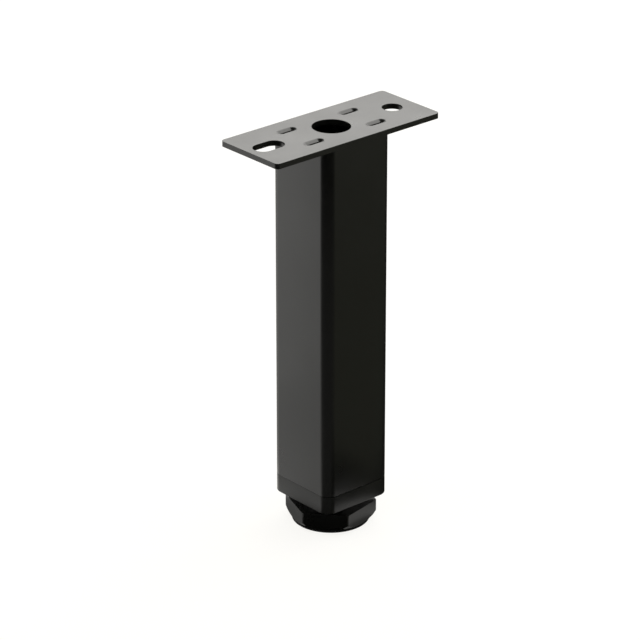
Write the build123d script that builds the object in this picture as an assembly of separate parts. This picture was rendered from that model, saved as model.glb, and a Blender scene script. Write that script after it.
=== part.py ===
from build123d import *
import os
from math import cos, pi, radians, tan

# Adjustable furniture foot: a square steel leg with a screw plate on top and a screwed hexagon foot below.
# Millimetres, +Z up. The origin is on the floor under the middle of the foot, and X runs along the plate.

# Square tube
tube_side = 30.0
tube_wall = 1.5
tube_corner = 4.0
tube_length = 132.5

# Mounting plate, as wide as the tube
plate_length = 75.0
plate_thickness = 2.0
plate_corner = 1.5
plate_edge_bevel = 0.3
screw_hole_diameter = 7.4
screw_edge_distance = 9.0
slot_travel = 4.9
access_hole_diameter = 13.8

# Weld dimples pressed into the plate, across the tube's two side walls
dimple_length = 8.3
dimple_width = 3.3
dimple_depth = 1.5
dimple_slope = 37.0
dimple_slope_depth = 0.8
dimple_roll = 1.0
dimple_pitch = 14.4

# Thread and nut
thread_diameter = 10.0
thread_clearance = 0.05
nut_across_flats = 17.0
nut_height = 8.0

# End cap
flange_height = 7.0
cap_floor = 2.5
cap_edge_bevel = 0.4
nut_cover = 2.5
boss_wall = 1.5
bore_clearance = 0.3
skirt_depth = 15.0
skirt_gap = 1.0
skirt_wall = 1.5
fin_count = 3
fin_thickness = 1.2
fin_bevel = 0.5
fin_clearance = 0.05

# Spindle
spindle_length = 35.0
spindle_chamfer = 1.0
head_across_flats = 17.0
head_height = 3.5
driver_slot_width = 1.6
driver_slot_depth = 2.5

# Hexagon foot, moulded round the spindle's head
foot_across_flats = 29.0
foot_height = 6.5
foot_cover = 2.0
foot_base_diameter = 28.4
foot_turned_height = 2.5
foot_turned_bulge = 0.35
foot_corner_round = 0.5
foot_edge_bevel = 0.35
foot_angle = 10.9
foot_gap = 2.5

# Glide pad, as wide as the foot's base
pad_thickness = 1.0
pad_edge_bevel = 0.3

# Levels, from the floor up
foot_bottom = pad_thickness
foot_top = foot_bottom + foot_height
cap_bottom = foot_top + foot_gap
tube_bottom = cap_bottom + flange_height
tube_top = tube_bottom + tube_length
plate_top = tube_top + plate_thickness
head_top = foot_top - foot_cover
nut_bottom = cap_bottom + cap_floor

# Sizes that follow
plate_width = tube_side
tube_inside = tube_side - 2 * tube_wall
tube_inside_corner = tube_corner - tube_wall
screw_x = plate_length / 2 - screw_edge_distance
wall_middle_x = (tube_side - tube_wall) / 2
skirt_outside = tube_inside - 2 * skirt_gap
skirt_inside = skirt_outside - 2 * skirt_wall
bore_diameter = thread_diameter + 2 * bore_clearance
hex_corner_ratio = 1 / cos(pi / 6)


def square_bar(side, corner, bottom, height):
    """A square bar with rounded corners, standing on the level given."""
    outline = RectangleRounded(side, side, corner)
    return Pos(0, 0, bottom) * extrude(outline, height)


def round_bar(diameter, bottom, height):
    """A round bar on the axis, standing on the level given."""
    return Pos(0, 0, bottom) * extrude(Circle(diameter / 2), height)


def hexagon_bar(across_flats, bottom, height, angle=0.0):
    """A hexagon bar on the axis, with a corner at the angle given from X."""
    outline = RegularPolygon(across_flats / 2, 6, major_radius=False, rotation=angle)
    return Pos(0, 0, bottom) * extrude(outline, height)


def edges_at(shape, level):
    """The edges that lie wholly at one level."""
    return shape.edges().filter_by_position(Axis.Z, level - 0.001, level + 0.001)


def weld_dimple():
    """A slot with sloping shoulders, cut down from the plate's top; its rim is rolled over afterwards."""
    inset = dimple_slope_depth / tan(radians(dimple_slope))
    core = SlotOverall(dimple_length - 2 * inset, dimple_width - 2 * inset)
    rim = SlotOverall(dimple_length, dimple_width)
    shoulders = loft([Pos(0, 0, -dimple_slope_depth) * core, rim])
    return Pos(0, 0, plate_thickness) * (shoulders + extrude(core, -dimple_depth))


def is_dimple_rim(edge):
    """True for an edge that lies in one of the two rows of dimples."""
    return abs(abs(edge.center().Y) - dimple_pitch / 2) < dimple_width / 2


def mounting_plate():
    """Stamped plate with a round and a slotted screw hole, an access hole and four weld dimples."""
    outline = RectangleRounded(plate_length, plate_width, plate_corner)
    outline -= Circle(access_hole_diameter / 2)
    outline -= Pos(screw_x, 0) * Circle(screw_hole_diameter / 2)
    outline -= Pos(-screw_x, 0) * SlotCenterToCenter(slot_travel, screw_hole_diameter)
    plate = extrude(outline, plate_thickness)
    plate = chamfer(edges_at(plate, plate_thickness), plate_edge_bevel)
    dimples = GridLocations(2 * wall_middle_x, dimple_pitch, 2, 2)
    plate -= [place * weld_dimple() for place in dimples]
    rims = edges_at(plate, plate_thickness).filter_by(is_dimple_rim)
    plate = fillet(rims, dimple_roll)
    return Pos(0, 0, tube_top) * plate


def square_tube():
    """Length of square tube with rounded corners, welded under the plate."""
    outside = square_bar(tube_side, tube_corner, tube_bottom, tube_length)
    return outside - square_bar(tube_inside, tube_inside_corner, tube_bottom, tube_length)


def end_cap():
    """Moulded plug: a flange flush with the tube, a finned skirt in it, and a boss round the nut."""
    flange = square_bar(tube_side, tube_corner, cap_bottom, flange_height)
    flange = chamfer(edges_at(flange, cap_bottom), cap_edge_bevel)
    skirt_corner = tube_inside_corner - skirt_gap / 2
    skirt = square_bar(skirt_outside, skirt_corner, tube_bottom, skirt_depth)
    skirt = chamfer(edges_at(skirt, tube_bottom + skirt_depth), skirt_wall / 3)
    fin_side = tube_inside - 2 * fin_clearance
    fin_pitch = skirt_depth / (fin_count + 1)
    for number in range(fin_count):
        fin_bottom = tube_bottom + (number + 1) * fin_pitch - fin_thickness / 2
        fin = square_bar(fin_side, tube_inside_corner, fin_bottom, fin_thickness)
        skirt += chamfer(edges_at(fin, fin_bottom + fin_thickness), fin_bevel)
    cap = flange + skirt

    # Four corner pockets are cored out between the boss and the skirt
    boss_diameter = nut_across_flats * hex_corner_ratio + 2 * boss_wall
    core_height = flange_height - cap_floor + skirt_depth
    core = square_bar(skirt_inside, skirt_corner, nut_bottom, core_height)
    boss_height = nut_height + nut_cover
    cap -= core - round_bar(boss_diameter, nut_bottom, boss_height)

    # The nut is moulded in, with plastic under and over it
    cap -= hexagon_bar(nut_across_flats, nut_bottom, nut_height)
    return cap - round_bar(bore_diameter, cap_bottom, flange_height + skirt_depth)


def spindle_nut():
    """Steel hexagon nut with bevelled corners, moulded into the cap's boss."""
    corner_diameter = nut_across_flats * hex_corner_ratio
    blank = round_bar(corner_diameter, nut_bottom, nut_height)
    ends = edges_at(blank, nut_bottom) + edges_at(blank, nut_bottom + nut_height)
    bevel = (corner_diameter - nut_across_flats) / 2
    blank = chamfer(ends, bevel / 2, bevel)
    nut = blank & hexagon_bar(nut_across_flats, nut_bottom, nut_height)
    return nut - round_bar(thread_diameter + 2 * thread_clearance, nut_bottom, nut_height)


def spindle():
    """Threaded spindle with its hexagon head down and a screwdriver slot in its upper end."""
    tip = head_top + spindle_length
    shank = round_bar(thread_diameter, head_top, spindle_length)
    shank = chamfer(edges_at(shank, tip), spindle_chamfer)
    slot = Box(thread_diameter, driver_slot_width, driver_slot_depth, align=(Align.CENTER, Align.CENTER, Align.MAX))
    head = hexagon_bar(head_across_flats, head_top - head_height, head_height, foot_angle)
    return shank - Pos(0, 0, tip) * slot + head


def hex_foot():
    """Hexagon foot with its corners turned off towards a round base, moulded round the spindle's head."""
    base_radius = foot_base_diameter / 2
    corner_radius = foot_across_flats / 2 * hex_corner_ratio
    middle_radius = (base_radius + corner_radius) / 2 + foot_turned_bulge
    profile = Plane.XZ * make_face(
        Polyline(
            (0, 0),
            (base_radius, 0),
            (middle_radius, foot_turned_height / 2),
            (corner_radius, foot_turned_height),
            (corner_radius, foot_height),
            (0, foot_height),
            close=True,
        )
    )
    foot = hexagon_bar(foot_across_flats, 0, foot_height, foot_angle)
    uprights = foot.edges().filter_by(Axis.Z)
    foot = fillet(uprights, foot_corner_round)
    foot = chamfer(edges_at(foot, foot_height), foot_edge_bevel)
    foot &= revolve(profile, Axis.Z)
    foot = chamfer(edges_at(foot, 0), foot_edge_bevel)
    foot = Pos(0, 0, foot_bottom) * foot
    foot -= hexagon_bar(head_across_flats, head_top - head_height, head_height, foot_angle)
    return foot - round_bar(thread_diameter, head_top, foot_cover)


def glide_pad():
    """Thin round pad under the foot."""
    pad = round_bar(foot_base_diameter, 0, pad_thickness)
    return chamfer(edges_at(pad, 0), pad_edge_bevel)


pieces = {
    "mounting_plate": mounting_plate(),
    "square_tube": square_tube(),
    "end_cap": end_cap(),
    "spindle_nut": spindle_nut(),
    "spindle": spindle(),
    "hex_foot": hex_foot(),
    "glide_pad": glide_pad(),
}

os.makedirs("parts", exist_ok=True)
for name, piece in pieces.items():
    export_step(piece, f"parts/{name}.step")
    print(name, "solids", len(piece.solids()), "volume", round(piece.volume, 1))
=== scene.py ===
# %% [markdown]
# # An adjustable furniture foot, dressed for its portrait
# The object is a black square steel leg with a screw plate on top and a screwed hexagon foot below.
# The solids come from a imported CAD model, and every place and size is read from it or repeats it.
# Only what a model doesn't hold, such as the roll of an edge or a finish, is judged.
# Each cell below says what a piece or a finish is on the real leg, and then makes it.

# %% Load the frame
import bpy
from math import atan2, cos, pi, radians, sin, sqrt, tan
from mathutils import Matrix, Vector


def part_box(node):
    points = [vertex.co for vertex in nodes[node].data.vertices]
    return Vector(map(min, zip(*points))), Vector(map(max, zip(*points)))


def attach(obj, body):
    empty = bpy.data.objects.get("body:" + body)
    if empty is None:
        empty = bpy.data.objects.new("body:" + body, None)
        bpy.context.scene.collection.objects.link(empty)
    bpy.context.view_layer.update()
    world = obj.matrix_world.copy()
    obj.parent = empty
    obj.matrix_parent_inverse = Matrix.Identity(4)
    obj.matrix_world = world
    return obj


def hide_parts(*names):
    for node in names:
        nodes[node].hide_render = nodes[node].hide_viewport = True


mm = 0.001
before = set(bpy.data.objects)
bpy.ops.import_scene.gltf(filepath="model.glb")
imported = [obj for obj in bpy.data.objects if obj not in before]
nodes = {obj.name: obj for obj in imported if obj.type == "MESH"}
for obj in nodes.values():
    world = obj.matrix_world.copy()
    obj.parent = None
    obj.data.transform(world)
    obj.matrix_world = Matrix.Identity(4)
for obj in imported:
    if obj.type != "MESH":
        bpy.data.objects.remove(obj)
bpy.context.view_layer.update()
bpy.ops.object.select_all(action="DESELECT")

# %% [markdown]
# ## The camera
# The photograph was taken with a long lens, from the slotted end of the plate and a little above it.
# The angles, the distance and the lens below make the plate's corners, the tube's edges and the foot
# fall where they fall in the photograph. The view needs no lens shift.

# %% Camera
image_side = 640
focal_pixels = 3400
camera_azimuth = radians(-41.24)
camera_elevation = radians(24.2)
camera_distance = 1209.0 * mm
camera_aim = Vector((-2.47, 3.12, 77.6)) * mm

camera_data = bpy.data.cameras.new("camera")
camera_data.sensor_width = 36.0
camera_data.lens = focal_pixels / image_side * camera_data.sensor_width
camera_data.clip_start = 0.05
camera_data.clip_end = 60.0
camera = bpy.data.objects.new("camera", camera_data)
bpy.context.scene.collection.objects.link(camera)
back = Vector((
    sin(camera_azimuth) * cos(camera_elevation),
    -cos(camera_azimuth) * cos(camera_elevation),
    sin(camera_elevation),
))
camera.location = camera_aim + back * camera_distance
camera.rotation_mode = "QUATERNION"
camera.rotation_quaternion = (-back).to_track_quat("-Z", "Y")
bpy.context.scene.camera = camera
bpy.context.scene.view_settings.view_transform = "Standard"
print("camera lens, mm:", round(camera_data.lens, 1))

# %% [markdown]
# ## Sizes read from the frame
# Every piece that is remodelled here takes its place from the box of the CAD node that it stands for.
# Only what a box can't tell, such as a corner's radius, is written as a number.

# %% Sizes
plate_low, plate_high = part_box("mounting_plate")
tube_low, tube_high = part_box("square_tube")
spindle_low, spindle_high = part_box("spindle")
foot_low, foot_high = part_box("hex_foot")
pad_low, pad_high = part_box("glide_pad")

tube_corner = 4.0 * mm
tube_wall = 1.5 * mm
plate_corner = 1.5 * mm
screw_edge_distance = 9.0 * mm
screw_hole_radius = 3.7 * mm
slot_travel = 4.9 * mm
access_hole_radius = 6.9 * mm
dimple_length = 8.3 * mm
dimple_width = 3.3 * mm
dimple_depth = 1.5 * mm
dimple_slope = radians(37.0)
dimple_slope_depth = 0.8 * mm
dimple_roll = 1.0 * mm
dimple_pitch = 14.4 * mm
hex_corner_ratio = 1 / cos(pi / 6)
foot_across_flats = 29.0 * mm
foot_angle = radians(10.9)
foot_base_radius = 14.2 * mm
foot_turned_height = 2.5 * mm
foot_turned_bulge = 0.35 * mm
foot_corner_round = 0.5 * mm
foot_cover = 2.0 * mm
thread_radius = 5.0 * mm
thread_pitch = 1.5 * mm
spindle_tip_bevel = 1.0 * mm
head_across_flats = 17.0 * mm
driver_slot_width = 1.6 * mm
driver_slot_depth = 2.5 * mm

# %% [markdown]
# ## Small helpers
# An operator works on whatever is selected, so each helper leaves exactly one object selected and active.
# Places are applied into the mesh, so every finished object sits at the origin, as the CAD nodes do.

# %% Helpers for objects
clear = 1.0 * mm  # how far a cutting tool reaches past the face that it cuts
tiny = 1e-6  # two places nearer to each other than this count as one
sharp_angle = radians(40)


def only(piece):
    """Selects one object and makes it the active one."""
    bpy.ops.object.select_all(action="DESELECT")
    piece.select_set(True)
    bpy.context.view_layer.objects.active = piece


def settle(piece):
    """Puts the object's place, turn and scale into its mesh."""
    only(piece)
    bpy.ops.object.transform_apply(location=True, rotation=True, scale=True)
    return piece


def named(name):
    """Names the piece that an operator has just added, and returns it."""
    piece = bpy.context.object
    piece.name = name
    piece.data.name = name
    return piece


def block(name, low, high):
    """A box between two corners."""
    bpy.ops.mesh.primitive_cube_add(size=1, location=(low + high) / 2)
    piece = named(name)
    piece.scale = high - low
    return settle(piece)


def rod(name, radius, low, high, sides=96, x=0.0, turn=0.0):
    """An upright cylinder or prism between two heights."""
    middle = (x, 0, (low + high) / 2)
    bpy.ops.mesh.primitive_cylinder_add(
        vertices=sides, radius=radius, depth=high - low, location=middle, rotation=(0, 0, turn)
    )
    return settle(named(name))


# %% Helpers for edit mode
def pick(piece, mode, test):
    """In edit mode, selects the vertices, edges or faces of which every vertex passes the test."""
    only(piece)
    bpy.ops.object.mode_set(mode="EDIT")
    bpy.ops.mesh.select_mode(type=mode)
    bpy.ops.mesh.select_all(action="DESELECT")
    bpy.ops.object.mode_set(mode="OBJECT")
    mesh = piece.data
    items = {"VERT": mesh.vertices, "EDGE": mesh.edges, "FACE": mesh.polygons}[mode]
    for item in items:
        corners = [mesh.vertices[v].co for v in item.vertices] if mode != "VERT" else [item.co]
        item.select = test(corners)
    bpy.ops.object.mode_set(mode="EDIT")


def at_level(level):
    """A test for what lies wholly at one level."""
    return lambda corners: all(abs(corner.z - level) < tiny for corner in corners)


def upright(corners):
    """True for an edge that runs along Z."""
    first, second = corners
    return abs(first.x - second.x) < tiny and abs(first.y - second.y) < tiny


def round_uprights(piece, radius, segments):
    """Rounds the upright edges of a prism."""
    pick(piece, "EDGE", upright)
    bpy.ops.mesh.bevel(offset=radius, segments=segments, affect="EDGES", offset_type="OFFSET")
    bpy.ops.object.mode_set(mode="OBJECT")


def extrude_rings(rings):
    """Extrudes the selected round face from ring to ring, each of which is a radius and a level."""
    for (radius, level), (next_radius, next_level) in zip(rings, rings[1:]):
        bpy.ops.mesh.extrude_region_move(TRANSFORM_OT_translate={"value": (0, 0, next_level - level)})
        factor = next_radius / radius
        bpy.ops.transform.resize(value=(factor, factor, 1))


# %% Helpers for modifiers
def apply(piece, modifier):
    """Applies a modifier to the mesh."""
    only(piece)
    bpy.ops.object.modifier_apply(modifier=modifier.name)


def combine(piece, tool, operation="DIFFERENCE"):
    """Cuts or joins one closed shape with another, which is then deleted."""
    modifier = piece.modifiers.new("combine", "BOOLEAN")
    modifier.operation = operation
    modifier.solver = "EXACT"
    modifier.object = tool
    apply(piece, modifier)
    bpy.data.objects.remove(tool)


def soften(piece, width, segments=3, angle=30.0):
    """Rolls the sharp edges over, and shades the faces so that flat ones stay flat."""
    modifier = piece.modifiers.new("soften", "BEVEL")
    modifier.width = width
    modifier.segments = segments
    modifier.limit_method = "ANGLE"
    modifier.angle_limit = radians(angle)
    apply(piece, modifier)
    only(piece)
    bpy.ops.object.shade_smooth_by_angle(angle=radians(angle))
    weighted = piece.modifiers.new("weighted", "WEIGHTED_NORMAL")
    weighted.keep_sharp = True
    apply(piece, weighted)


# %% [markdown]
# ### Rolled edges
# An edge is where a finish wears first, so each piece carries an attribute that says where its edges
# are. After a bevel the faces of a rolled edge are the narrow ones, and that is how they are found.


# %% Mark rolled edges
def mark_edges(piece, widest, test=lambda place: True):
    """Writes 1 into the attribute "edge" at each point inside a rolled edge, where the finish is rubbed.

    A face wider than the widest roll is no part of a rolled edge, so its points get 0.
    """
    mesh = piece.data
    marks = [float(test(vertex.co)) for vertex in mesh.vertices]
    for face in mesh.polygons:
        corners = [mesh.vertices[v].co for v in face.vertices]
        outline = sum((a - b).length for a, b in zip(corners, corners[1:] + corners[:1]))
        width = 2 * face.area / outline
        if width > widest:
            for v in face.vertices:
                marks[v] = 0.0
    mesh.attributes.new("edge", "FLOAT", "POINT").data.foreach_set("value", marks)
    print(piece.name, "points on rolled edges:", round(sum(marks)))


# %% [markdown]
# ## Mounting plate
# The real plate is stamped from 2 mm steel: the press rounds the outline's corners, punches the holes and
# leaves the upper edges slightly rolled. The four long dimples are weld projections: the press pushes the
# metal down over the tube's two side walls, and the welder melts it there.
# A box with rounded uprights is the blank, and the holes' punches are cylinders. The slot's is a cylinder
# of which the two halves are pulled apart. The dimple's is a round wedge, pulled apart in the same way,
# which flares towards the top as sheet metal does where it rolls over into a press mark.


# %% Punches
def pulled(piece, middle_x, travel):
    """Pulls the two halves of a round punch apart along X."""
    for side in (-1, 1):
        pick(piece, "VERT", lambda corners: (corners[0].x - middle_x) * side > tiny)
        bpy.ops.transform.translate(value=(side * travel / 2, 0, 0))
        bpy.ops.object.mode_set(mode="OBJECT")
    return piece


def dimple_punch(x, y, top):
    """A wedge with round ends that flares towards the top, as sheet metal rolls over into a press mark."""
    core = dimple_width / 2 - dimple_slope_depth / tan(dimple_slope)
    rim = dimple_width / 2 + dimple_roll * tan(dimple_slope / 2)
    rings = [(core, -dimple_depth), (core, -dimple_slope_depth)]
    roll_steps = 6
    for step in range(roll_steps + 1):
        turn = dimple_slope * (1 - step / roll_steps)
        rings.append((rim - dimple_roll * sin(turn), -dimple_roll * (1 - cos(turn))))
    rings.append((rim, clear))
    bottom = (0, 0, -dimple_depth)
    bpy.ops.mesh.primitive_circle_add(vertices=64, radius=core, fill_type="NGON", location=bottom)
    punch = settle(named("punch"))
    bpy.ops.object.mode_set(mode="EDIT")
    bpy.ops.mesh.select_all(action="SELECT")
    extrude_rings(rings)
    bpy.ops.mesh.select_all(action="SELECT")
    bpy.ops.mesh.normals_make_consistent(inside=False)
    bpy.ops.object.mode_set(mode="OBJECT")
    pulled(punch, 0, dimple_length - dimple_width)
    punch.location = (x, y, top)
    return settle(punch)


# %% Mounting plate
def make_plate():
    """The blank, its three holes and its four dimples, with the upper edges rolled."""
    plate = block("plate", plate_low, plate_high)
    round_uprights(plate, plate_corner, segments=8)
    bottom, top = plate_low.z - clear, plate_high.z + clear
    screw_x = plate_high.x - screw_edge_distance
    combine(plate, rod("punch", access_hole_radius, bottom, top, sides=128))
    combine(plate, rod("punch", screw_hole_radius, bottom, top, x=screw_x))
    slot = rod("punch", screw_hole_radius, bottom, top, x=-screw_x)
    combine(plate, pulled(slot, -screw_x, slot_travel))
    wall_x = tube_high.x - tube_wall / 2
    for x in (-wall_x, wall_x):
        for y in (-dimple_pitch / 2, dimple_pitch / 2):
            combine(plate, dimple_punch(x, y, plate_high.z))
    edge_roll = 0.45 * mm
    soften(plate, edge_roll, segments=4)
    rim = 1.0 * mm
    rim_x, rim_y = plate_high.x - rim, plate_high.y - rim
    mark_edges(plate, widest=0.4 * mm, test=lambda place: abs(place.x) > rim_x or abs(place.y) > rim_y)
    return plate


plate = make_plate()
print("plate faces:", len(plate.data.polygons))

# %% [markdown]
# ## Square tube
# The tube is rolled from strip and welded along its length, which gives its corners their large radius.
# A bar of the tube's outer shape has a bar of its inner shape cut out of it. The ends are sawn, and the
# lower one is lightly deburred, so a tiny bevel runs round it where it meets the end cap.


# %% Square tube
def rounded_bar(name, side, corner, low, high, segments):
    """A square bar with rounded corners."""
    half = Vector((side / 2, side / 2, 0))
    bar = block(name, Vector((0, 0, low)) - half, Vector((0, 0, high)) + half)
    round_uprights(bar, corner, segments)
    return bar


def make_tube():
    """The hollow tube, with its lower end deburred."""
    outside = tube_high.x - tube_low.x
    inside = outside - 2 * tube_wall
    bottom, top = tube_low.z - clear, tube_high.z + clear
    tube = rounded_bar("tube", outside, tube_corner, tube_low.z, tube_high.z, segments=16)
    combine(tube, rounded_bar("core", inside, tube_corner - tube_wall, bottom, top, segments=12))
    pick(tube, "EDGE", at_level(tube_low.z))
    deburr = 0.12 * mm
    bpy.ops.mesh.bevel(offset=deburr, segments=3, affect="EDGES")
    bpy.ops.object.mode_set(mode="OBJECT")
    bpy.ops.object.shade_smooth_by_angle(angle=sharp_angle)
    mark_edges(tube, widest=0.3 * mm)
    return tube


tube = make_tube()
print("tube faces:", len(tube.data.polygons))

# %% [markdown]
# ## End cap
# The cap is moulded in one shot: a flange as wide as the tube, and above it a finned skirt that is driven
# into the tube. The frame's solid already has all of that, so its mesh is copied, its loose triangles are
# merged into clean faces, and its edges are rolled by the small radius that a mould always leaves. Only
# the flange's upper rim is left crisp, because it meets the tube there. On two sides that rim is lowered
# a little: the photograph shows a dark seam on the right side, and hardly any on the left one.


# %% Copy a solid
def copied(name, node):
    """A copy of a CAD node as clean faces, for finishing."""
    piece = nodes[node].copy()
    piece.data = nodes[node].data.copy()
    piece.name = name
    piece.data.name = name
    piece.parent = None
    for key in list(piece.keys()):
        del piece[key]
    bpy.context.scene.collection.objects.link(piece)
    only(piece)
    bpy.ops.object.mode_set(mode="EDIT")
    bpy.ops.mesh.select_mode(type="VERT")
    bpy.ops.mesh.select_all(action="SELECT")
    bpy.ops.mesh.remove_doubles(threshold=tiny)
    bpy.ops.mesh.dissolve_limited(angle_limit=radians(1.0))
    bpy.ops.object.mode_set(mode="OBJECT")
    return piece


# %% End cap
def roll_sharp_edges(piece, width, sharp_level):
    """Rolls over every sharp edge, apart from those at one level, which stay crisp."""
    only(piece)
    bpy.ops.object.mode_set(mode="EDIT")
    bpy.ops.mesh.select_mode(type="EDGE")
    bpy.ops.mesh.select_all(action="DESELECT")
    bpy.ops.mesh.edges_select_sharp(sharpness=sharp_angle)
    bpy.ops.object.mode_set(mode="OBJECT")
    for edge in piece.data.edges:
        ends = [piece.data.vertices[v].co for v in edge.vertices]
        if at_level(sharp_level)(ends):
            edge.select = False
    bpy.ops.object.mode_set(mode="EDIT")
    bpy.ops.mesh.bevel(offset=width, segments=2, affect="EDGES")
    bpy.ops.object.mode_set(mode="OBJECT")
    bpy.ops.object.shade_smooth_by_angle(angle=sharp_angle)


def open_seam(cap, gap):
    """Lowers the flange's upper rim along the -Y and +X sides, where the pressed-in cap stands open."""
    for vertex in cap.data.vertices:
        place = vertex.co
        on_rim = max(abs(place.x), abs(place.y)) > tube_high.x - tube_wall
        if on_rim and abs(place.z - tube_low.z) < tiny:
            # 0 along the closed sides and 1 along the open ones, with a slope across the corners between
            share = (place.x - place.y) / (2 * tube_corner) + 0.5
            place.z -= gap * min(1.0, max(0.0, share))


mould_roll = 0.12 * mm
seam_gap = 0.3 * mm
flange_top = tube_low.z + 0.1 * mm
cap = copied("cap", "end_cap")
roll_sharp_edges(cap, mould_roll, tube_low.z)
open_seam(cap, seam_gap)
mark_edges(cap, widest=0.3 * mm, test=lambda place: place.z < flange_top)
print("cap faces:", len(cap.data.polygons))

# %% [markdown]
# ## Threaded spindle
# The spindle is an M10 screw. Its thread is one ridge that climbs 1.5 mm in each turn.
# A smooth cylinder is cut into thin rings, and each point is then moved in by where it lies on that
# climbing ridge. The groove fades out where the shank enters the foot, and the tip is bevelled.

# %% Thread
thread_depth = 0.9 * mm
crest_share = 0.12
flank_share = 0.7
sides_per_turn = 48
rings_per_pitch = 10


def thread_profile(phase):
    """How far in, from 0 at the crest to 1 at the root, for a place 0 to 1 along one pitch."""
    from_crest = abs(phase - 0.5) * 2
    return min(1.0, max(0.0, (from_crest - crest_share) / flank_share))


def cut_thread(screw, bottom, top):
    """Moves each point in by where it lies on the climbing ridge, and bevels the tip."""
    for vertex in screw.data.vertices:
        place = vertex.co
        radius = sqrt(place.x**2 + place.y**2)
        turn = atan2(place.y, place.x) / (2 * pi)
        pitches = (place.z - bottom) / thread_pitch
        ridge = thread_depth * thread_profile((pitches - turn) % 1.0) * min(1.0, pitches)
        tip = max(0.0, spindle_tip_bevel - (top - place.z))
        factor = (thread_radius - max(ridge, tip)) / radius
        place.x *= factor
        place.y *= factor


# %% Spindle
def hexagon(name, across_flats, bottom, top):
    """A hexagon bar, turned as the foot is."""
    corner_radius = across_flats / 2 * hex_corner_ratio
    return rod(name, corner_radius, bottom, top, sides=6, turn=foot_angle + pi / 6)


def make_spindle():
    """The threaded shank with its screwdriver slot, joined to its hexagon head."""
    bottom, top = foot_high.z - foot_cover, spindle_high.z
    rings = round((top - bottom) / thread_pitch * rings_per_pitch)
    bpy.ops.mesh.primitive_circle_add(
        vertices=sides_per_turn, radius=thread_radius, fill_type="NGON", location=(0, 0, bottom)
    )
    screw = settle(named("screw"))
    bpy.ops.object.mode_set(mode="EDIT")
    bpy.ops.mesh.select_all(action="SELECT")
    for _ in range(rings):
        bpy.ops.mesh.extrude_region_move(TRANSFORM_OT_translate={"value": (0, 0, (top - bottom) / rings)})
    bpy.ops.mesh.select_all(action="SELECT")
    bpy.ops.mesh.normals_make_consistent(inside=False)
    bpy.ops.object.mode_set(mode="OBJECT")
    cut_thread(screw, bottom, top)
    reach = thread_radius + clear
    slot_low = Vector((-reach, -driver_slot_width / 2, top - driver_slot_depth))
    slot_high = Vector((reach, driver_slot_width / 2, top + clear))
    combine(screw, block("slot", slot_low, slot_high))
    combine(screw, hexagon("head", head_across_flats, spindle_low.z, bottom), "UNION")
    only(screw)
    bpy.ops.object.shade_smooth_by_angle(angle=radians(35))
    return screw


screw = make_spindle()
print("spindle faces:", len(screw.data.polygons))

# %% [markdown]
# ## Hexagon foot
# The foot is moulded round the spindle's head. It is a hexagon for a spanner or for fingers, and its
# corners are turned away towards a round base, so that it meets the floor in a circle.
# A six-sided cylinder gives the flats. A lathe shape, a round blank whose lower rim is drawn in, is then
# intersected with it, which is just what turning does to a hexagon bar.


# %% Hexagon foot
def make_foot():
    """The hexagon with its corners turned away, hollowed for the spindle's head and shank."""
    foot = hexagon("foot", foot_across_flats, foot_low.z, foot_high.z)
    round_uprights(foot, foot_corner_round, segments=5)
    corner_radius = foot_across_flats / 2 * hex_corner_ratio
    blank = rod("blank", corner_radius, foot_low.z, foot_high.z, sides=192)
    pick(blank, "FACE", at_level(foot_low.z))
    bpy.ops.transform.translate(value=(0, 0, foot_turned_height))
    middle_radius = (corner_radius + foot_base_radius) / 2 + foot_turned_bulge
    extrude_rings([
        (corner_radius, foot_turned_height), (middle_radius, foot_turned_height / 2), (foot_base_radius, 0),
    ])
    bpy.ops.object.mode_set(mode="OBJECT")
    combine(foot, blank, "INTERSECT")
    head_top = foot_high.z - foot_cover
    combine(foot, rod("bore", thread_radius, head_top, foot_high.z + clear))
    combine(foot, hexagon("head", head_across_flats, spindle_low.z, head_top))
    edge_roll = 0.3 * mm
    soften(foot, edge_roll, angle=25.0)
    mark_edges(foot, widest=0.4 * mm)
    return foot


foot = make_foot()
print("foot faces:", len(foot.data.polygons))

# %% [markdown]
# ## Glide pad
# A thin round pad under the foot spares the floor. It is cut from sheet, so its edge is nearly square.
# Its underside is inset again and again, up and down in turn, which leaves three shallow rings.


# %% Glide pad
def make_pad():
    """The round disc, with its ringed underside."""
    pad = rod("pad", pad_high.x, pad_low.z, pad_high.z, sides=160)
    pick(pad, "FACE", at_level(pad_low.z))
    ring_count, ring_width, ring_step, ring_depth = 3, 3.0 * mm, 0.5 * mm, 0.12 * mm
    for inset, lift in ((ring_width, ring_depth), (ring_step, -ring_depth)) * ring_count:
        bpy.ops.mesh.inset(thickness=inset)
        bpy.ops.transform.translate(value=(0, 0, lift))
    bpy.ops.object.mode_set(mode="OBJECT")
    edge_roll = 0.15 * mm
    soften(pad, edge_roll, segments=2)
    mark_edges(pad, widest=0.3 * mm)
    return pad


pad = make_pad()
print("pad faces:", len(pad.data.polygons))

# %% [markdown]
# ## Finishes
# Powder coat is plastic powder that is sprayed on and melted. It flows into a skin with a faint orange
# peel, and it is thinnest at the edges, where handling rubs it smooth first. Moulded plastic has a finer,
# drier grain. Both need the same two effects, so these are node groups: a surface grain and an edge rub.


# %% Node helpers
def new_group(name, inputs, outputs):
    """A shader node group with named sockets."""
    group = bpy.data.node_groups.new(name, "ShaderNodeTree")
    for label, kind, value in inputs:
        socket = group.interface.new_socket(label, in_out="INPUT", socket_type=kind)
        if value is not None:
            socket.default_value = value
    for label, kind in outputs:
        group.interface.new_socket(label, in_out="OUTPUT", socket_type=kind)
    return group, group.nodes.new("NodeGroupInput"), group.nodes.new("NodeGroupOutput")


def new_material(name):
    """A material, and the node tree that it starts with."""
    material = bpy.data.materials.new(name)
    material.use_nodes = True
    return material, material.node_tree


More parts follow.
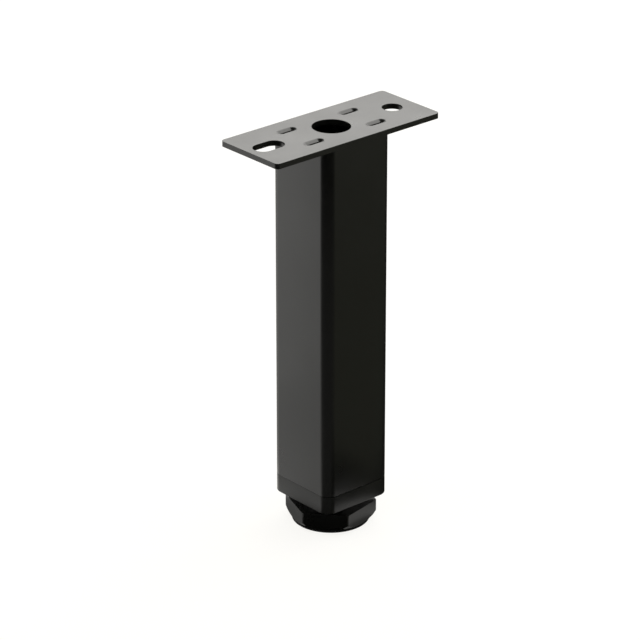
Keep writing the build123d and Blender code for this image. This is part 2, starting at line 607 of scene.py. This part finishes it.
def add(tree, kind, links=(), **values):
    """A node with some settings, and with sockets that are linked from other nodes or given a value."""
    node = tree.nodes.new(kind)
    for key, value in values.items():
        setattr(node, key, value)
    for label, source in links:
        if hasattr(source, "is_output"):
            tree.links.new(source, node.inputs[label])
        else:
            node.inputs[label].default_value = source
    return node


# %% Short names for common nodes
def noise(tree, place, scale, detail, roughness):
    """Cloudy noise from 0 to 1."""
    links = [("Vector", place), ("Scale", scale), ("Detail", detail), ("Roughness", roughness)]
    return add(tree, "ShaderNodeTexNoise", links).outputs["Fac"]


def calculate(tree, operation, *values):
    """One step of arithmetic on sockets or numbers."""
    return add(tree, "ShaderNodeMath", enumerate(values), operation=operation).outputs[0]


def respread(tree, value, span, wanted):
    """Maps a value from one span to another."""
    links = [("Value", value), ("From Min", span[0]), ("From Max", span[1])]
    links += [("To Min", wanted[0]), ("To Max", wanted[1])]
    return add(tree, "ShaderNodeMapRange", links).outputs[0]


def mix(tree, share, first, second):
    """A mix of two values. The node has sockets for every kind, and the values' are numbers 2 and 3."""
    links = [("Factor", share), (2, first), (3, second)]
    return add(tree, "ShaderNodeMix", links, data_type="FLOAT").outputs[0]


def blend(tree, share, first, second):
    """A mix of two colours, whose sockets are numbers 6 and 7."""
    links = [("Factor", share), (6, first), (7, second)]
    return add(tree, "ShaderNodeMix", links, data_type="RGBA").outputs[2]


# %% [markdown]
# ### The surface grain
# Its height is a fine noise mixed with a slower one, which is the orange peel. Its mottle is a slower
# cloud still, and colour and roughness follow that. Both slow scales are shares of the fine one.

# %% Grain group
peel_scale = 0.28
mottle_scale = 0.03
grain_group, given, made = new_group(
    "surface grain",
    inputs=[
        ("Vector", "NodeSocketVector", None),
        ("Scale", "NodeSocketFloat", 1200.0),
        ("Peel", "NodeSocketFloat", 0.4),
    ],
    outputs=[("Height", "NodeSocketFloat"), ("Mottle", "NodeSocketFloat")],
)
place, scale = given.outputs["Vector"], given.outputs["Scale"]
fine = noise(grain_group, place, scale, detail=3.0, roughness=0.6)
slow_scale = calculate(grain_group, "MULTIPLY", scale, peel_scale)
slow = noise(grain_group, place, slow_scale, detail=1.0, roughness=0.4)
cloud_scale = calculate(grain_group, "MULTIPLY", scale, mottle_scale)
cloud = noise(grain_group, place, cloud_scale, detail=4.0, roughness=0.55)
height = mix(grain_group, given.outputs["Peel"], fine, slow)
grain_group.links.new(height, made.inputs["Height"])
grain_group.links.new(cloud, made.inputs["Mottle"])

# %% [markdown]
# ### The edge rub
# Each black piece carries the attribute "edge", which is 1 on its rolled edges. A noise breaks that up
# into patches, because no edge wears evenly.

# %% Edge rub group
rub_group, given, made = new_group(
    "edge rub",
    inputs=[
        ("Vector", "NodeSocketVector", None),
        ("Edge", "NodeSocketFloat", 0.0),
        ("Scale", "NodeSocketFloat", 500.0),
    ],
    outputs=[("Mask", "NodeSocketFloat")],
)
patches = noise(rub_group, given.outputs["Vector"], given.outputs["Scale"], detail=4.0, roughness=0.6)
worn = respread(rub_group, patches, (0.38, 0.62), (0.15, 1.0))
mask = calculate(rub_group, "MULTIPLY", worn, given.outputs["Edge"])
rub_group.links.new(mask, made.inputs["Mask"])
print("node groups:", grain_group.name, "and", rub_group.name)

# %% [markdown]
# ### One recipe for all the black skins
# The recipe places the grain group, spreads the roughness a little with the mottle, and lets the colour
# drift between two near blacks. The edges are rubbed a little smoother and greyer, in patches.
# What differs between powder coat, plastics and rubber is only the numbers.

# %% Black skins
rubbed_black = (0.0070, 0.0072, 0.0066)
rub_polish = 0.05
mottle_span = (0.3, 0.7)


def skin(name, dark, light, rough, scale, peel, bump, specular):
    """A black coat, plastic or rubber: two near colours, a span of roughness, a grain and rubbed edges."""
    material, tree = new_material(name)
    place = add(tree, "ShaderNodeTexCoord").outputs["Object"]
    grain_links = [("Vector", place), ("Scale", scale), ("Peel", peel)]
    grain = add(tree, "ShaderNodeGroup", grain_links, node_tree=grain_group)
    edge = add(tree, "ShaderNodeAttribute", attribute_name="edge").outputs["Fac"]
    rub_links = [("Vector", place), ("Edge", edge)]
    rub = add(tree, "ShaderNodeGroup", rub_links, node_tree=rub_group).outputs["Mask"]
    mottle = grain.outputs["Mottle"]
    colour = blend(tree, mottle, (*dark, 1.0), (*light, 1.0))
    rubbed = blend(tree, rub, colour, (*rubbed_black, 1.0))
    spread = respread(tree, mottle, mottle_span, rough)
    smoother = calculate(tree, "MULTIPLY_ADD", rub, -rub_polish, spread)
    relief_links = [("Height", grain.outputs["Height"]), ("Strength", 1.0), ("Distance", bump)]
    relief = add(tree, "ShaderNodeBump", relief_links)
    shader = tree.nodes["Principled BSDF"]
    tree.links.new(rubbed, shader.inputs["Base Color"])
    tree.links.new(smoother, shader.inputs["Roughness"])
    tree.links.new(relief.outputs["Normal"], shader.inputs["Normal"])
    shader.inputs["Specular IOR Level"].default_value = specular
    return material


warm_black = (0.0018, 0.0020, 0.0011)
warm_grey = (0.0026, 0.0028, 0.0017)
powder_coat = skin(
    "powder_coat", warm_black, warm_grey, rough=(0.27, 0.33),
    scale=1500.0, peel=0.6, bump=0.01 * mm, specular=0.70,
)
cap_plastic = skin(
    "cap_plastic", warm_black, warm_grey, rough=(0.29, 0.36),
    scale=2600.0, peel=0.3, bump=0.01 * mm, specular=0.62,
)
foot_plastic = skin(
    "foot_plastic", (0.0020, 0.0022, 0.0016), (0.0028, 0.0030, 0.0022), rough=(0.26, 0.34),
    scale=2200.0, peel=0.4, bump=0.006 * mm, specular=0.5,
)
pad_rubber = skin(
    "pad_rubber", (0.0020, 0.0020, 0.0020), (0.0035, 0.0035, 0.0035), rough=(0.70, 0.85),
    scale=3000.0, peel=0.2, bump=0.02 * mm, specular=0.15,
)
black_skins = (powder_coat, cap_plastic, foot_plastic, pad_rubber)
print("black skins:", [material.name for material in black_skins])

# %% [markdown]
# ### Zinc plated steel
# The spindle and the nut are plated with zinc, which is a bright metal with a faint cold cast. Fine lines
# run round it from the thread rolling, so its grain is squeezed along the spindle.


# %% Zinc
def zinc_plating():
    """A bright metal, with a grain that is squeezed along Z."""
    material, tree = new_material("zinc_steel")
    place = add(tree, "ShaderNodeTexCoord").outputs["Object"]
    squeezed = add(tree, "ShaderNodeMapping", [("Vector", place), ("Scale", (1.0, 1.0, 12.0))]).outputs[0]
    grain_links = [("Vector", squeezed), ("Scale", 900.0), ("Peel", 0.5)]
    grain = add(tree, "ShaderNodeGroup", grain_links, node_tree=grain_group)
    mottle = grain.outputs["Mottle"]
    colour = blend(tree, mottle, (0.50, 0.51, 0.52, 1.0), (0.66, 0.67, 0.68, 1.0))
    rough = respread(tree, mottle, (0.0, 1.0), (0.24, 0.42))
    relief_links = [("Height", grain.outputs["Height"]), ("Strength", 0.6), ("Distance", 0.01 * mm)]
    relief = add(tree, "ShaderNodeBump", relief_links)
    shader = tree.nodes["Principled BSDF"]
    tree.links.new(colour, shader.inputs["Base Color"])
    tree.links.new(rough, shader.inputs["Roughness"])
    tree.links.new(relief.outputs["Normal"], shader.inputs["Normal"])
    shader.inputs["Metallic"].default_value = 1.0
    return material


zinc = zinc_plating()

# %% [markdown]
# ## Dressing the pieces
# Each remodelled piece rides on its body, takes its finish and hides the solid that it stands for.
# The nut is hidden in the cap, so its solid is kept and only gets the zinc.


# %% Dress
def finish(piece, material):
    """Gives a piece one material all over."""
    piece.data.materials.clear()
    piece.data.materials.append(material)


def dress(piece, body, node, material):
    """Finishes a piece and puts it in the place of its CAD node."""
    finish(piece, material)
    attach(piece, body)
    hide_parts(node)
    print(piece.name, "rides on", body, "in the place of", node)


dress(plate, "leg", "mounting_plate", powder_coat)
dress(tube, "leg", "square_tube", powder_coat)
dress(cap, "leg", "end_cap", cap_plastic)
dress(screw, "foot", "spindle", zinc)
dress(foot, "foot", "hex_foot", foot_plastic)
dress(pad, "pad", "glide_pad", pad_rubber)
finish(nodes["spindle_nut"], zinc)

# %% [markdown]
# ## Floor and light
# The leg stands on a white sweep. Black shows its shape only by what it reflects, so the light is made of
# things to reflect: the white floor on the left, a soft light behind that greys the plate's top, one to
# the right that fills the press marks, and dark cards in front and on the right.
# The foot stands on the floor at every height, so the floor rides on the pad's body, and so do the cards
# that lie on it: the foot screws out, and the leg then stands higher. The floor has an upper side only,
# so the leg can also be looked at from below.

# %% White
studio_white = (1.0, 0.99, 0.96)
white_level = 1.08


def seen_white(tree, shaded, share):
    """Lets camera, glossy and transmission rays see plain white, mixed over the lit surface by a share."""
    path = add(tree, "ShaderNodeLightPath")
    seen = calculate(tree, "MAXIMUM", path.outputs["Is Camera Ray"], path.outputs["Is Glossy Ray"])
    seen = calculate(tree, "MAXIMUM", seen, path.outputs["Is Transmission Ray"])
    amount = calculate(tree, "MULTIPLY", seen, share)
    white = add(tree, "ShaderNodeEmission", [("Color", (*studio_white, 1.0)), ("Strength", white_level)])
    return add(tree, "ShaderNodeMixShader", [(0, amount), (1, shaded), (2, white.outputs[0])]).outputs[0]


# %% Floor
floor_side = 16
bpy.ops.mesh.primitive_plane_add(size=floor_side, location=(0, 0, 0))
floor = named("floor")
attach(floor, "pad")
print("floor side, m:", floor_side)


def floor_white():
    """Matt white that is seen a little brighter than it is lit, and clear from below."""
    material, tree = new_material("floor")
    shader = tree.nodes["Principled BSDF"]
    shader.inputs["Base Color"].default_value = (0.9, 0.9, 0.9, 1.0)
    shader.inputs["Roughness"].default_value = 0.9
    upper = seen_white(tree, shader.outputs[0], share=0.8)
    below = add(tree, "ShaderNodeNewGeometry").outputs["Backfacing"]
    clear_side = add(tree, "ShaderNodeBsdfTransparent").outputs[0]
    one_sided = add(tree, "ShaderNodeMixShader", [(0, below), (1, upper), (2, clear_side)])
    tree.links.new(one_sided.outputs[0], tree.nodes["Material Output"].inputs["Surface"])
    return material


finish(floor, floor_white())

# %% World
world = bpy.data.worlds.new("studio")
bpy.context.scene.world = world
world.use_nodes = True
tree = world.node_tree
plain = tree.nodes["Background"]
plain.inputs["Color"].default_value = (0.55, 0.55, 0.55, 1.0)
seen_world = seen_white(tree, plain.outputs[0], share=1.0)
tree.links.new(seen_world, tree.nodes["World Output"].inputs["Surface"])

# %% Lamps
lamp_aim = Vector((0, 0, 100 * mm))
lamp_white = (1.0, 0.985, 0.95)


def direction(azimuth, elevation):
    """A unit vector away from the leg, by its angle round from +X and its angle up."""
    return Vector((
        cos(radians(azimuth)) * cos(radians(elevation)),
        sin(radians(azimuth)) * cos(radians(elevation)),
        sin(radians(elevation)),
    ))


def soft_light(name, azimuth, elevation, distance, width, height, radiance):
    """A rectangular lamp aimed at the leg, with the power that gives its face the radiance wanted."""
    lamp = bpy.data.lights.new(name, "AREA")
    lamp.shape = "RECTANGLE"
    lamp.size = width
    lamp.size_y = height
    lamp.energy = radiance * pi * width * height
    lamp.color = lamp_white
    holder = bpy.data.objects.new(name, lamp)
    away = direction(azimuth, elevation)
    holder.location = lamp_aim + away * distance
    holder.rotation_mode = "QUATERNION"
    holder.rotation_quaternion = (-away).to_track_quat("-Z", "Y")
    bpy.context.scene.collection.objects.link(holder)
    print(name, "power, W:", round(lamp.energy, 1))
    return holder


soft_light("back_light", azimuth=34, elevation=38, distance=1.5, width=1.9, height=1.25, radiance=1.68)
soft_light("right_light", azimuth=-22, elevation=46, distance=1.5, width=1.3, height=1.0, radiance=1.45)

# The left light brightens the floor and the sides, and no gloss shows it
left_light = soft_light(
    "left_light", azimuth=160, elevation=65, distance=1.6, width=1.0, height=1.0, radiance=1.5
)
left_light.visible_glossy = False

# %% [markdown]
# ### Cards
# A studio shapes a black object with cards that its gloss reflects, and these show in reflections only.
# Black ones lie and stand in front, where the front corner should stay dark, and grey ones on the right.
# On the left and round the foot, duller ones cover the white floor where a real floor would lie in the
# leg's own shade. Nearly black ones overhead and low behind draw the rims of the press marks.
# Each card is a sector of a ring round the leg or round one of the leg's corners, and two of them rise
# towards the outside, as low walls.

# %% Cards
degrees_per_step = 3


def ring_sector(name, span, reach, height, rise, middle):
    """A sheet between two angles and two radii round a middle, which can rise towards the outside."""
    (from_angle, to_angle), (inner, outer), (x, y) = span, reach, middle
    steps = max(2, round((to_angle - from_angle) / degrees_per_step))
    angles = [radians(from_angle + (to_angle - from_angle) * k / steps) for k in range(steps + 1)]
    points = [(x + inner * cos(a), y + inner * sin(a), height) for a in angles]
    points += [(x + outer * cos(a), y + outer * sin(a), height + rise) for a in angles]
    quads = [(k, k + 1, k + steps + 2, k + steps + 1) for k in range(steps)]
    mesh = bpy.data.meshes.new(name)
    mesh.from_pydata(points, [], quads)
    sheet = bpy.data.objects.new(name, mesh)
    bpy.context.scene.collection.objects.link(sheet)
    return sheet


def card(name, span, reach, height, level, rise=0.0, middle=(0.0, 0.0), tint=studio_white):
    """A card seen by glossy rays only, of a level from 0, which is black, to 1, which is white."""
    sheet = ring_sector(name, span, reach, height, rise, middle)
    sheet.visible_camera = False
    sheet.visible_diffuse = False
    sheet.visible_shadow = False
    sheet.visible_transmission = False
    sheet.visible_volume_scatter = False
    material, tree = new_material(name)
    glow = add(tree, "ShaderNodeEmission", [("Color", (*tint, 1.0)), ("Strength", level)])
    tree.links.new(glow.outputs[0], tree.nodes["Material Output"].inputs["Surface"])
    finish(sheet, material)
    if height < 1 * mm:
        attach(sheet, "pad")
    print(name, "level:", level)


# %% Places of the cards
# Cards that overlap lie at different heights, all just above the floor
floor_height = 0.5 * mm
contact_height = 0.55 * mm
foot_height = 0.6 * mm
close = 2 * mm
far = 1.2
front_corner = (tube_low.x, tube_low.y)
left_corner = (tube_low.x, tube_high.y)

# %% Cards in front
# The front is black, which keeps the front corner and its two faces apart
card("black_card", (147, 290), (250 * mm, far), floor_height, level=0.0, middle=front_corner)
card("dim_card", (147, 290), (close, 250 * mm), floor_height, level=0.09, middle=front_corner)
card("soft_edge_card", (140, 147), (close, far), floor_height, level=0.55, middle=front_corner)
card("front_wall", (160, 285), (far, far + 10 * mm), floor_height, level=0.0, rise=0.45)

# %% Cards on the right
# The right side is a dark olive grey, and nearly black close to the leg and towards the back
olive = (1.0, 1.03, 0.80)
card("grey_card", (290, 340), (close, far), floor_height, level=0.125, middle=front_corner, tint=olive)
# Painted shadow: a nearly black card where the floor beside the leg lies in the leg's own shadow
card("contact_shadow_card", (275, 335), (14 * mm, 48 * mm), contact_height, level=0.01, middle=front_corner)
card("rear_card", (340, 388), (close, far), floor_height, level=0.03, middle=front_corner)

# %% Cards on the left
# The left side is the white floor, duller close to the leg and where the leg's outline turns away. Close to
# the leg, the duller floor is painted shade, the leg's own shade on it
card("near_floor_shade_card", (100, 140), (27 * mm, 110 * mm), floor_height, level=0.69, middle=front_corner)
card("next_floor_shade_card", (100, 140), (110 * mm, 230 * mm), floor_height, level=0.87, middle=front_corner)
card("rim_card", (60, 100), (30 * mm, 0.5), floor_height, level=0.55, middle=left_corner)

# %% Cards round the foot
# Round the foot, the floor lies in the leg's own shade, and these cards are that shade, painted
card("foot_front_shade_card", (188, 248), (1 * mm, 31 * mm), foot_height, level=0.0)
card("foot_right_shade_card", (248, 350), (1 * mm, 18.5 * mm), foot_height, level=0.25)
card("foot_right_far_shade_card", (262, 322), (18.5 * mm, 29 * mm), foot_height, level=0.75)
card("shade_card", (50, 188), (1 * mm, 27 * mm), foot_height, level=0.3)

# %% Cards overhead and behind
# Overhead and low behind, nearly black cards draw the ends and the near rims of the press marks
card("canopy", (75, 165), (0.3, 1.8), height=1.0, level=0.01)
card("top_card", (0, 360), (1 * mm, 0.8), height=1.7, level=0.02)
card("far_floor_card", (28, 66), (0.75, 2.2), floor_height, level=0.03)
card("back_card", (0, 100), (2.2, 2.21), floor_height, level=0.08, rise=0.68)
